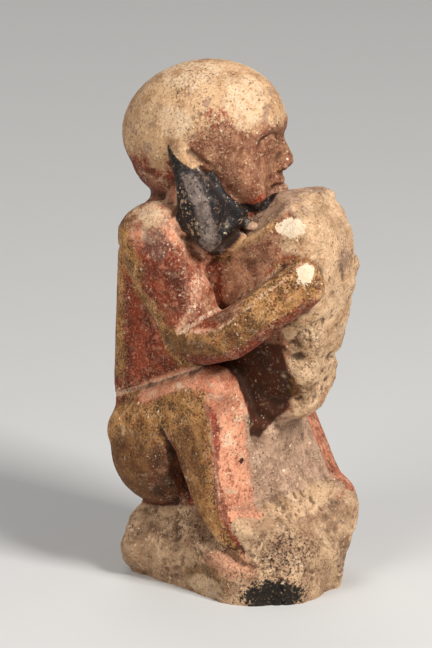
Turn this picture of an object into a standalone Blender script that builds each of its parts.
"""A squatting boy who hugs a rounded block, carved with his low base from one lump of limestone."""

import math

import bmesh
import bpy
import numpy as np
from mathutils import Matrix, Vector, noise

HEIGHT = 0.130                 # underside of the base to the crown
CROWN = 128.8                  # the crown's line on the carver's grid, whose line 0 is the underside
SQUARE = HEIGHT / CROWN        # one square of that grid, in metres: all forms below are drawn in squares
RIGHT, LEFT = -1, 1            # the boy faces -Y, so his right side is -X

VOXEL = 0.65 * SQUARE          # grain of the block-out before it is thinned
TRIANGLES = 9600
RING_POINTS = 28
CAP_ANGLES = (30, 55, 75, 88)  # rings that round off the end of a limb, in degrees

HEAD_CENTRE = (0.0, 9.5, 111.5)
HEAD_TURN = math.radians(16)   # the head looks a little to the boy's left

STONE_COLOUR = (0.60, 0.42, 0.30, 1.0)
STONE_ROUGHNESS = 0.85


def clear_scene():
    for thing in list(bpy.data.objects):
        bpy.data.objects.remove(thing)


def grid(x, y, z):
    """A place on the carver's grid, in metres."""
    return np.array((x, y, z), float) * SQUARE


def superellipse(angle, squareness):
    """A point of the unit section: squareness 2 is a circle, and 4 is close to a rounded square."""
    c, s = math.cos(angle), math.sin(angle)
    return (
        math.copysign(abs(c) ** (2 / squareness), c),
        math.copysign(abs(s) ** (2 / squareness), s),
    )


def section(centre, wide_axis, deep_axis, half_wide, half_deep, squareness):
    points = []
    for i in range(RING_POINTS):
        across, along = superellipse(2 * math.pi * i / RING_POINTS, squareness)
        points.append(centre + wide_axis * half_wide * across + deep_axis * half_deep * along)
    return points


def loft(bm, rings):
    """One closed skin through the rings, with a flat cap at each end."""
    loops = [[bm.verts.new(Vector(p)) for p in ring] for ring in rings]
    for low, high in zip(loops, loops[1:]):
        for i in range(RING_POINTS):
            j = (i + 1) % RING_POINTS
            bm.faces.new((low[i], low[j], high[j], high[i]))
    bm.faces.new(list(reversed(loops[0])))
    bm.faces.new(loops[-1])


def limb(bm, stations, sideways=(1, 0, 0), squareness=2.2, round_start=1.0, round_end=1.0):
    """A tube through stations of (place on the grid, half width along sideways, half depth), with rounded ends."""
    centres = [grid(*place) for place, _, _ in stations]
    sideways = np.array(sideways, float)
    rings = []
    for i, (_, wide, deep) in enumerate(stations):
        along = centres[min(i + 1, len(centres) - 1)] - centres[max(i - 1, 0)]
        along /= np.linalg.norm(along)
        wide_axis = sideways - along * sideways.dot(along)
        wide_axis /= np.linalg.norm(wide_axis)
        deep_axis = np.cross(along, wide_axis)
        wide, deep = wide * SQUARE, deep * SQUARE
        rings.append(section(centres[i], wide_axis, deep_axis, wide, deep, squareness))
        is_start, is_end = i == 0, i == len(stations) - 1
        if not (is_start or is_end):
            continue
        reach = min(wide, deep) * (round_start if is_start else round_end)
        caps = []
        for degrees in CAP_ANGLES:
            out, narrow = math.sin(math.radians(degrees)), math.cos(math.radians(degrees))
            centre = centres[i] + along * reach * (-out if is_start else out)
            caps.append(section(centre, wide_axis, deep_axis, wide * narrow, deep * narrow, squareness))
        if is_start:
            rings[:0] = reversed(caps)
        else:
            rings.extend(caps)
    loft(bm, rings)


def ellipsoid(bm, centre, radii, turn=0.0, lean=0.0):
    """turn is about the upright axis, and lean about the X axis, in radians."""
    made = bmesh.ops.create_uvsphere(bm, u_segments=32, v_segments=20, radius=1)
    matrix = (
        Matrix.Translation(Vector(grid(*centre)))
        @ Matrix.Rotation(turn, 4, "Z")
        @ Matrix.Rotation(lean, 4, "X")
        @ Matrix.Diagonal((*(r * SQUARE for r in radii), 1))
    )
    bmesh.ops.transform(bm, matrix=matrix, verts=made["verts"])


def base(bm):
    """The low mound of rough stone: rings of (height, right half width, left half width, front, back, narrow).

    narrow is how much slimmer the mound is at the back than under the feet.
    """
    rings = []
    for height, right, left, front, back, narrow in (
        (-4, 23.6, 19.0, -27.0, 25.5, 0.34),
        (0, 24.2, 20.0, -27.6, 26.0, 0.32),
        (5, 24.2, 21.5, -28.0, 28.6, 0.24),
        (9, 23.2, 22.5, -28.4, 29.2, 0.18),
        (13, 21.6, 22.5, -27.6, 27.0, 0.14),
        (16.5, 20.0, 21.5, -24.5, 23.6, 0.10),
        (19.0, 16.5, 17.5, -19.0, 19.0, 0.06),
    ):
        ring = []
        for i in range(RING_POINTS):
            across, along = superellipse(2 * math.pi * i / RING_POINTS, 2.6)
            y = (front + back) / 2 + along * (back - front) / 2
            slim = 1 - narrow * min(max((y + 8) / 20, 0.0), 1.0)
            ring.append(grid(across * slim * (left if across > 0 else right), y, height))
        rings.append(ring)
    loft(bm, rings)
    ellipsoid(bm, (10.5, -17.0, 8.0), (10.0, 11.0, 11.0))    # the lobe under the boy's left foot
    ellipsoid(bm, (-10.0, 19.5, 8.5), (9.0, 7.5, 9.0))       # and the one behind him to his right


def trunk(bm):
    """Torso, with its flat back and square corners, then the seat, the neck and the slope of the shoulders."""
    limb(bm, [
        ((0, 13.4, 27), 13.0, 12.2),
        ((0, 14.4, 34), 15.4, 13.4),
        ((0, 14.6, 46), 16.8, 14.0),
        ((0, 14.2, 61), 16.8, 14.0),
        ((0, 13.7, 72), 17.0, 13.9),
        ((0, 13.4, 81), 17.6, 13.6),
        ((0, 12.5, 89), 17.2, 11.7),
        ((0, 12.4, 94), 13.0, 8.6),
    ], squareness=5, round_start=0.5, round_end=0.15)
    limb(bm, [((0, 9, 12), 14, 15), ((0, 9, 50), 13, 14)], squareness=3)
    limb(bm, [((0, 13.4, 88), 11.0, 9.6), ((0, 13.0, 96), 10.0, 10.2), ((0, 10.0, 104), 9.8, 9.8)])
    ellipsoid(bm, (-9.5, 5.5, 94.5), (7.0, 9.0, 9.5))   # the stone behind the lock


def filling(bm):
    """The web of stone between the shins, up to the underside of the block."""
    limb(bm, [
        ((0.5, -4.0, 10), 19.0, 20.0),
        ((0.5, -4.0, 17), 18.5, 18.5),
        ((0.5, -3.0, 22), 17, 15.6),
        ((0.5, -2.0, 28), 15, 12.8),
        ((0, -1.0, 34), 13, 12.4),
        ((0, -1.6, 41), 11.5, 13.0),
    ], squareness=4, round_end=0.5)


def leg(bm, side):
    """Thigh and buttock, the lower leg folded in front of them, and the foot, which runs out into the mound."""
    limb(bm, [
        ((side * 11.5, 17.0, 35.0), 10.6, 12.5),
        ((side * 13.0, 7.0, 44.5), 8.8, 9.8),
        ((side * 14.6, -0.2, 49.8), 7.2, 7.4),
    ], squareness=2.5)
    ellipsoid(bm, (side * 10.6, 15.6, 32.8), (12.0, 12.8, 14.2))
    front = -1.5 if side == LEFT else 0.0
    limb(bm, [
        ((side * 14.8, -0.4, 50.0), 7.0, 7.2),
        ((side * 14.8, -1.4, 40.0), 7.2, 10.2),
        ((side * 14.8, -4.2 + front, 30.0), 7.1, 9.2 - front),
        ((side * 15.0, -6.2 + front, 24.5), 7.0, 8.4 - front),
        ((side * 15.2, -9.0 + front, 18.0), 6.6, 7.4 - front),
        ((side * 15.2, -11.4 + front, 14.0), 6.0, 6.6),
    ], squareness=4)
    if side == RIGHT:
        foot = (((-15.4, -7.0, 19.0), 6.0, 5.6), ((-15.4, -14.0, 12.6), 6.0, 5.2), ((-13.4, -20.0, 8.6), 6.0, 4.6))
    else:
        foot = (((15.2, -11.0, 23.0), 6.2, 6.0), ((14.4, -17.8, 17.6), 6.0, 6.0), ((12.2, -21.2, 14.6), 5.8, 5.6))
    limb(bm, foot, squareness=2.6)


def arm(bm, side):
    """Upper arm, forearm, and the hand laid along the edge of the block."""
    limb(bm, [
        ((side * 16.8, 14.2, 89.6), 7.0, 9.2),
        ((side * 17.6, 10.6, 81.5), 6.6, 8.8),
        ((side * 18.2, 5.8, 73.8), 6.0, 8.2),
        ((side * 18.2, 2.0, 66.0), 5.8, 7.4),
        ((side * 17.8, -0.6, 64.6), 5.8, 6.4),
    ], squareness=2.8)
    hand = -26.6 if side == RIGHT else -19.6
    limb(bm, [
        ((side * 17.8, -0.4, 64.8), 5.8, 6.6),
        ((side * 17.8, -7.6, 66.9), 5.8, 6.4),
        ((side * 16.6, -16.6, 73.6), 5.4, 6.0),
        ((side * 14.2, (hand - 18.0) / 2, 78.4), 4.4, 6.2),
        ((side * 11.8, hand, 81.4), 3.4, 5.2),
    ], squareness=2.8)


def block(bm):
    """The mass that the boy hugs: broad above, where the hands hold it, and narrower between the knees."""
    def along_y(slices):
        """Slices are (y, lowest, highest, half width), from the chest forward."""
        limb(bm, [
            ((0, y, (low + high) / 2), half_width, (high - low) / 2) for y, low, high, half_width in slices
        ], squareness=3.6, round_end=0.2)

    along_y(((3, 62, 90.5, 11.0), (-8, 62, 94.5, 13.0), (-16, 62, 98.0, 13.4), (-20.5, 64, 99.0, 12.8)))
    along_y(((0, 40, 66, 8.8), (-10, 40.5, 66, 9.0), (-16, 43, 67, 9.0)))
    limb(bm, [                                     # the broken front, from below the chin to between the shins
        ((0, front / 2, z), half_width, -front / 2) for front, z, half_width in (
            (-22.0, 47, 8.8), (-24.6, 53, 9.4), (-26.2, 61, 9.8), (-27.8, 69, 11.2),
            (-29.0, 77, 12.0), (-28.6, 85, 12.2), (-26.4, 91, 11.8), (-23.8, 95.5, 10.6),
        )
    ], squareness=3.8, round_start=0.3, round_end=0.3)


def in_head(front, left, height):
    """A place on the grid from one in the head's own axes: front and left of its centre, and height."""
    cos, sin = math.cos(HEAD_TURN), math.sin(HEAD_TURN)
    x, y, _ = HEAD_CENTRE
    return (x + left * cos + front * sin, y + left * sin - front * cos, height)


def head(bm):
    turn = HEAD_TURN
    sideways = (math.cos(turn), math.sin(turn), 0)

    def ball(front, left, height, half_width, half_length, half_height, lean=0.0):
        ellipsoid(bm, in_head(front, left, height), (half_width, half_length, half_height), turn, lean)

    ball(-0.3, 0, 112.2, 15.8, 20.5, 16.3, lean=-0.26)   # cranium, with its long axis tipped up in front
    ball(-6.0, 0, 105.5, 13.0, 12.4, 11.5)               # back of the head, down to the nape
    limb(bm, [                                     # face, from the chin up to the brow
        (in_head(8.4, 0, 92.8), 7.2, 8.2),
        (in_head(8.2, 0, 96.4), 10.2, 9.8),
        (in_head(7.6, 0, 101.5), 12.4, 10.8),
        (in_head(6.8, 0, 107.0), 13.4, 11.4),
        (in_head(6.4, 0, 113.0), 13.8, 12.0),
    ], sideways=sideways, squareness=2.4, round_start=0.4)
    for side in (RIGHT, LEFT):
        ball(10.4, side * 7.2, 102.6, 6.0, 6.6, 6.0)   # cheek
        ball(19.4, side * 2.2, 104.0, 1.5, 1.9, 1.4)   # wing of the nose
    limb(bm, [                                     # bridge of the nose, down to the tip
        (in_head(16.8, 0, 112.6), 1.7, 1.8),
        (in_head(18.2, 0, 108.6), 1.6, 2.2),
        (in_head(20.0, 0, 105.0), 2.0, 2.3),
    ], sideways=sideways)
    ball(17.8, 0, 100.6, 4.3, 2.0, 1.3)            # upper lip
    ball(17.4, 0, 98.4, 3.7, 1.9, 1.3)             # lower lip
    ball(14.8, 0, 94.8, 3.8, 3.2, 2.8)             # chin


def ear(bm):
    """The boy's left ear. The sidelock covers the other."""
    ellipsoid(bm, in_head(-1.5, 15.0, 107.6), (1.6, 3.0, 5.0), HEAD_TURN + 0.25)


def sidelock(bm):
    """The youth's lock, from the right temple down over the shoulder to its rolled end, and a thin lock before it."""
    limb(bm, [
        ((-13.6, 9.6, 115.0), 2.2, 2.0),
        ((-15.4, 7.4, 109.0), 2.4, 2.8),
        ((-16.8, 4.0, 103.4), 2.8, 3.8),
        ((-17.4, 1.0, 97.3), 3.2, 6.4),
        ((-17.2, -0.6, 92.6), 3.2, 5.4),
        ((-17.0, -1.2, 89.6), 2.8, 3.6),
    ], squareness=2.4, round_end=0.8)
    limb(bm, [((-14.0, 0.0, 105.0), 1.4, 1.4), ((-14.4, -3.4, 100.5), 1.7, 1.6), ((-14.0, -5.6, 98.0), 1.6, 1.5)])


def block_out():
    """Every mass in one mesh. They overlap, and the remesh makes one skin of them."""
    bm = bmesh.new()
    base(bm)
    trunk(bm)
    filling(bm)
    block(bm)
    for side in (RIGHT, LEFT):
        leg(bm, side)
        arm(bm, side)
    head(bm)
    ear(bm)
    sidelock(bm)
    bmesh.ops.recalc_face_normals(bm, faces=bm.faces)
    mesh = bpy.data.meshes.new("boy_statuette")
    bm.to_mesh(mesh)
    bm.free()
    statuette = bpy.data.objects.new("boy_statuette", mesh)
    bpy.context.scene.collection.objects.link(statuette)
    return statuette


def apply_modifiers(thing):
    bpy.context.view_layer.update()
    graph = bpy.context.evaluated_depsgraph_get()
    mesh = bpy.data.meshes.new_from_object(thing.evaluated_get(graph))
    thing.modifiers.clear()
    thing.data = mesh


def merge_masses(statuette):
    remesh = statuette.modifiers.new("one skin", "REMESH")
    remesh.mode = "VOXEL"
    remesh.voxel_size = VOXEL
    soften = statuette.modifiers.new("soften joins", "SMOOTH")
    soften.factor = 0.5
    soften.iterations = 3
    apply_modifiers(statuette)


class Chisel:
    """Works on the surface in grid squares. Every stroke moves the points that are near its line or plane."""

    def __init__(self, mesh):
        self.mesh = mesh
        flat = np.empty(len(mesh.vertices) * 3)
        mesh.vertices.foreach_get("co", flat)
        self.points = flat.reshape(-1, 3) / SQUARE
        self.feel_normals()

    def feel_normals(self):
        self.mesh.vertices.foreach_set("co", (self.points * SQUARE).ravel())
        self.mesh.update()
        flat = np.empty(len(self.mesh.vertices) * 3)
        self.mesh.vertex_normals.foreach_get("vector", flat)
        self.normals = flat.reshape(-1, 3)

    def seen_from_the_side(self, side):
        """Which points lie on one outer side of the figure, for strokes drawn as (y, z) lines."""
        return smooth_step(self.points[:, 0] * side, 8.0, 11.0)

    def off_line(self, line, axes):
        """Distance of each point to a line of places, along it from 0 to 1, and which side of it the point is on."""
        places = self.points[:, axes]
        line = np.array(line, float)
        best = np.full(len(places), np.inf)
        along = np.zeros(len(places))
        hand = np.zeros(len(places))
        steps = len(line) - 1
        for i in range(steps):
            way = line[i + 1] - line[i]
            offset = places - line[i]
            t = np.clip(offset @ way / (way @ way), 0, 1)
            gap = np.linalg.norm(offset - t[:, None] * way, axis=1)
            nearer = gap < best
            best[nearer] = gap[nearer]
            along[nearer] = ((i + t) / steps)[nearer]
            if len(axes) == 2:
                turn = way[0] * offset[:, 1] - way[1] * offset[:, 0]
                hand[nearer] = np.sign(turn)[nearer]
        return best, along, hand

    def cut(self, line, width, depth, axes=(0, 1, 2), only=None, fade=False):
        """A groove along the line, or a ridge where depth is negative."""
        gap, along, _ = self.off_line(line, list(axes))
        amount = depth * np.clip(1 - (gap / width) ** 2, 0, None) ** 2
        if only is not None:
            amount = amount * only
        if fade:
            amount = amount * np.clip(4 * along * (1 - along), 0, 1) ** 0.5
        self.points -= self.normals * amount[:, None]

    def undercut(self, line, width, depth, hand, only, deepen=0.0):
        """Sinks the stone on one hand of a side-view line, so that the other hand keeps a crisp edge.

        deepen is the share of the line over which the cut grows to its full depth and width.
        """
        gap, along, side = self.off_line(line, [1, 2])
        signed = gap * side * hand
        grown = smooth_step(along, -0.1, deepen) if deepen else 1.0
        amount = smooth_step(signed, -0.3, 0.7) * (1 - smooth_step(signed, 0.7, width * grown)) * depth * grown * only
        self.points -= self.normals * amount[:, None]

    def plane_off(self, place, normal, where):
        """Pares the stone down to a plane, as far as the mask where allows."""
        normal = np.array(normal, float) / np.linalg.norm(normal)
        height = np.clip((self.points - np.array(place, float)) @ normal, 0, None)
        self.points -= normal * (height * where)[:, None]

    def near(self, centre, radii):
        """A mask that is 1 well inside an ellipsoid and 0 outside it."""
        away = np.linalg.norm((self.points - np.array(centre, float)) / np.array(radii, float), axis=1)
        return 1 - smooth_step(away, 0.75, 1.0)

    def chip(self, where, count, reach, depth, seed):
        """Knocks flat flakes off the stone, at places chosen by a seeded draw from the mask where."""
        draw = np.random.default_rng(seed)
        for i in draw.choice(len(self.points), count, p=where / where.sum()):
            centre = self.points[i].copy()
            tilt = self.normals[i] + draw.normal(0, 0.22, 3)
            tilt /= np.linalg.norm(tilt)
            radius = reach * draw.uniform(0.6, 1.3)
            facing = smooth_step(self.normals @ tilt, 0.2, 0.6)
            flake = self.near(centre, [radius] * 3) * facing * where
            self.plane_off(centre - tilt * depth * draw.uniform(0.3, 1.0), tilt, flake)

    def roughen(self, where, size, depth, seed):
        """Uneven stone: swells and hollows about size across."""
        for i in np.nonzero(where > 0.01)[0]:
            x, y, z = self.points[i] / size
            swell = noise.noise((x + seed, y, z)) + 0.4 * noise.noise((2.3 * x, 2.3 * y + seed, 2.3 * z))
            self.points[i] += self.normals[i] * (swell * depth * where[i])


def smooth_step(values, low, high):
    t = np.clip((values - low) / np.maximum(high - low, 1e-6), 0, 1)
    return t * t * (3 - 2 * t)


def carve_leg(chisel, side):
    x, y, z = chisel.points.T
    outer = chisel.seen_from_the_side(side)
    # the shin's front is a slanting plane, which meets the outer side of the leg in a sharp edge
    shin = smooth_step(x * side, 7.0, 10.0) * smooth_step(-y, 0.0, 3.0)
    if side == RIGHT:
        shin = shin * smooth_step(z, 17.0, 24.0) * (1 - smooth_step(z, 48.0, 53.0))
        chisel.plane_off((-21.3, -5.4, 40), (-0.466, -0.877, 0.129), shin)
    else:
        shin = shin * smooth_step(z, 22.0, 26.0) * (1 - smooth_step(z, 48.0, 53.0))
        chisel.plane_off((20.6, -8.8, 38.7), (0.25, -0.87, 0.42), shin)
    # the hollow between calf and thigh, behind the crisp back edge of the calf
    calf = ((8.3, 39.8), (6.1, 35.6), (3.9, 29.8), (1.8, 24.4), (0.3, 21.6), (-2.8, 17.7))
    chisel.undercut(calf, 6.5, 3.4, 1, outer, deepen=0.55)
    # where the foot stands out from the mound
    foot = ((0.3, 21.6), (-2.8, 17.7), (-6.4, 14.4), (-13.0, 11.8))
    chisel.undercut(foot, 4.5, 1.0, 1, outer)
    # the crease from the small of the back to the knee
    crease = ((30.0, 43.5), (22.0, 47.5), (17.7, 49.3), (11.5, 52.0), (5.8, 54.6), (1.5, 56.4))
    chisel.cut(crease, 1.8, 1.1, axes=(1, 2), only=outer * (1 - smooth_step(y, 22.0, 28.0)))


def carve_arm(chisel, side):
    outer = chisel.seen_from_the_side(side)
    chisel.cut(((6.5, 93.0), (0.6, 82.0), (-0.6, 74.7), (3.2, 67.2)), 1.8, 0.9, axes=(1, 2), only=outer)
    chisel.cut(((3.2, 67.2), (-14.0, 79.2), (-19.6, 84.8)), 1.6, 0.8, axes=(1, 2), only=outer)


def carve_block(chisel):
    # the top falls away to either side, and towards the chin
    for side in (RIGHT, LEFT):
        top = chisel.near((side * 8, -8, 88), (12, 17, 15))
        chisel.plane_off((side * 12.5, 4, 80), (side * 0.509, 0.492, 0.703), top)
        chisel.cut(((side * 14, -2, 78), (side * 14, -11, 84), (side * 13, -19, 89)), 4.5, 1.0, fade=True)


def carve_face(chisel):
    """A calm child's face: sockets, eyes between their lids, the corners of the nose and the line of the mouth."""
    for side in (RIGHT, LEFT):
        socket = [in_head(17.0, side * 3.6, 111.6), in_head(16.4, side * 8.4, 111.2)]
        chisel.cut(socket, 3.0, 0.9)
    chisel.feel_normals()
    for side in (RIGHT, LEFT):
        def lid(outer_front, rise):
            spots = []
            for t in (0.0, 0.25, 0.5, 0.75, 1.0):
                arch = math.sin(math.pi * t)
                spots.append(in_head(17.0 + 0.4 * arch - outer_front * t, side * (3.2 + 5.4 * t), 110.0 + rise * arch))
            return spots
        chisel.cut([in_head(16.8, side * 4.4, 110.1), in_head(16.2, side * 7.4, 110.1)], 2.1, -0.8)
        chisel.cut(lid(1.2, 1.9), 0.95, 0.45)
        chisel.cut(lid(1.2, -1.5), 0.9, 0.35)
        chisel.cut([in_head(18.6, side * 3.6, 105.4), in_head(17.4, side * 5.0, 101.6)], 1.3, 0.45)
    chisel.cut([in_head(19.0, -4.0, 99.5), in_head(19.8, 0, 99.6), in_head(19.0, 4.0, 99.5)], 0.9, 0.6)
    chisel.cut([in_head(18.4, -2.6, 96.6), in_head(18.6, 2.6, 96.6)], 1.6, 0.5)


def carve_back(chisel):
    behind = smooth_step(chisel.points[:, 1], 14.0, 17.0)
    chisel.cut(((0, 50), (0, 88)), 4.5, 0.8, axes=(0, 2), only=behind, fade=True)            # spine
    chisel.cut(((0, 20), (0, 43)), 2.4, 1.6, axes=(0, 2), only=behind, fade=True)            # cleft
    waist = ((-17, 44.5), (-8, 46.5), (0, 45.5), (8, 46.5), (17, 44.5))
    chisel.cut(waist, 3.0, 0.5, axes=(0, 2), only=behind)


def roughen_stone(chisel):
    """The mound and the front of the block are unworked or broken, and the figure itself is smooth."""
    x, y, z = chisel.points.T
    mound = 1 - smooth_step(z - 0.12 * np.abs(y), 12.0, 17.0)
    # the mound's front left corner leans inwards below the foot
    chisel.plane_off((0, -28.7, 0), (0.5, -0.866, -0.33), mound)
    broken = smooth_step(-y, 17.0, 21.0) * smooth_step(z, 38.0, 46.0) * (1 - 0.5 * smooth_step(-x, 9.0, 12.0))
    chisel.roughen(mound, 10.0, 1.1, 3.0)
    chisel.roughen(broken, 6.0, 0.7, 4.0)
    chisel.feel_normals()
    chisel.chip(mound, 20, 7.0, 0.6, 21)
    chisel.cut(((-9, -22, 60.5), (0, -26, 58.5), (8, -24, 58)), 2.2, 1.0)   # a step left by a break


def carve(statuette):
    chisel = Chisel(statuette.data)
    for side in (RIGHT, LEFT):
        carve_leg(chisel, side)
    carve_block(chisel)
    chisel.feel_normals()
    for side in (RIGHT, LEFT):
        carve_arm(chisel, side)
    carve_face(chisel)
    carve_back(chisel)
    roughen_stone(chisel)
    chisel.feel_normals()


def thin_out(statuette):
    count = sum(len(face.vertices) - 2 for face in statuette.data.polygons)
    thin = statuette.modifiers.new("thin out", "DECIMATE")
    thin.ratio = TRIANGLES / count
    thin.use_collapse_triangulate = True
    apply_modifiers(statuette)


def cut_underside(statuette):
    """Saws the base flat at height 0."""
    bm = bmesh.new()
    bm.from_mesh(statuette.data)
    everything = bm.verts[:] + bm.edges[:] + bm.faces[:]
    cut = bmesh.ops.bisect_plane(
        bm, geom=everything, dist=0.02 * SQUARE, plane_co=(0, 0, 0), plane_no=(0, 0, -1), clear_outer=True
    )
    rim = [edge for edge in cut["geom_cut"] if isinstance(edge, bmesh.types.BMEdge)]
    for edge in rim:
        for vert in edge.verts:
            vert.co.z = 0.0
    bmesh.ops.edgenet_fill(bm, edges=rim)
    bmesh.ops.recalc_face_normals(bm, faces=bm.faces)
    for edge in rim:
        edge.smooth = False
    bm.to_mesh(statuette.data)
    bm.free()


def stone():
    material = bpy.data.materials.new("painted_limestone")
    material.use_nodes = True
    shader = material.node_tree.nodes["Principled BSDF"]
    shader.inputs["Base Color"].default_value = STONE_COLOUR
    shader.inputs["Roughness"].default_value = STONE_ROUGHNESS
    shader.inputs["Metallic"].default_value = 0.0
    return material


def stand_over_origin(statuette):
    """Centres the statuette's box on the origin. Its underside is already at height 0."""
    corners = [Vector(corner) for corner in statuette.bound_box]
    middle = (corners[0] + corners[6]) / 2
    statuette.data.transform(Matrix.Translation((-middle.x, -middle.y, 0)))


def main():
    clear_scene()
    statuette = block_out()
    merge_masses(statuette)
    carve(statuette)
    thin_out(statuette)
    cut_underside(statuette)
    stand_over_origin(statuette)
    statuette.data.materials.clear()
    statuette.data.materials.append(stone())
    for face in statuette.data.polygons:
        face.use_smooth = True


main()
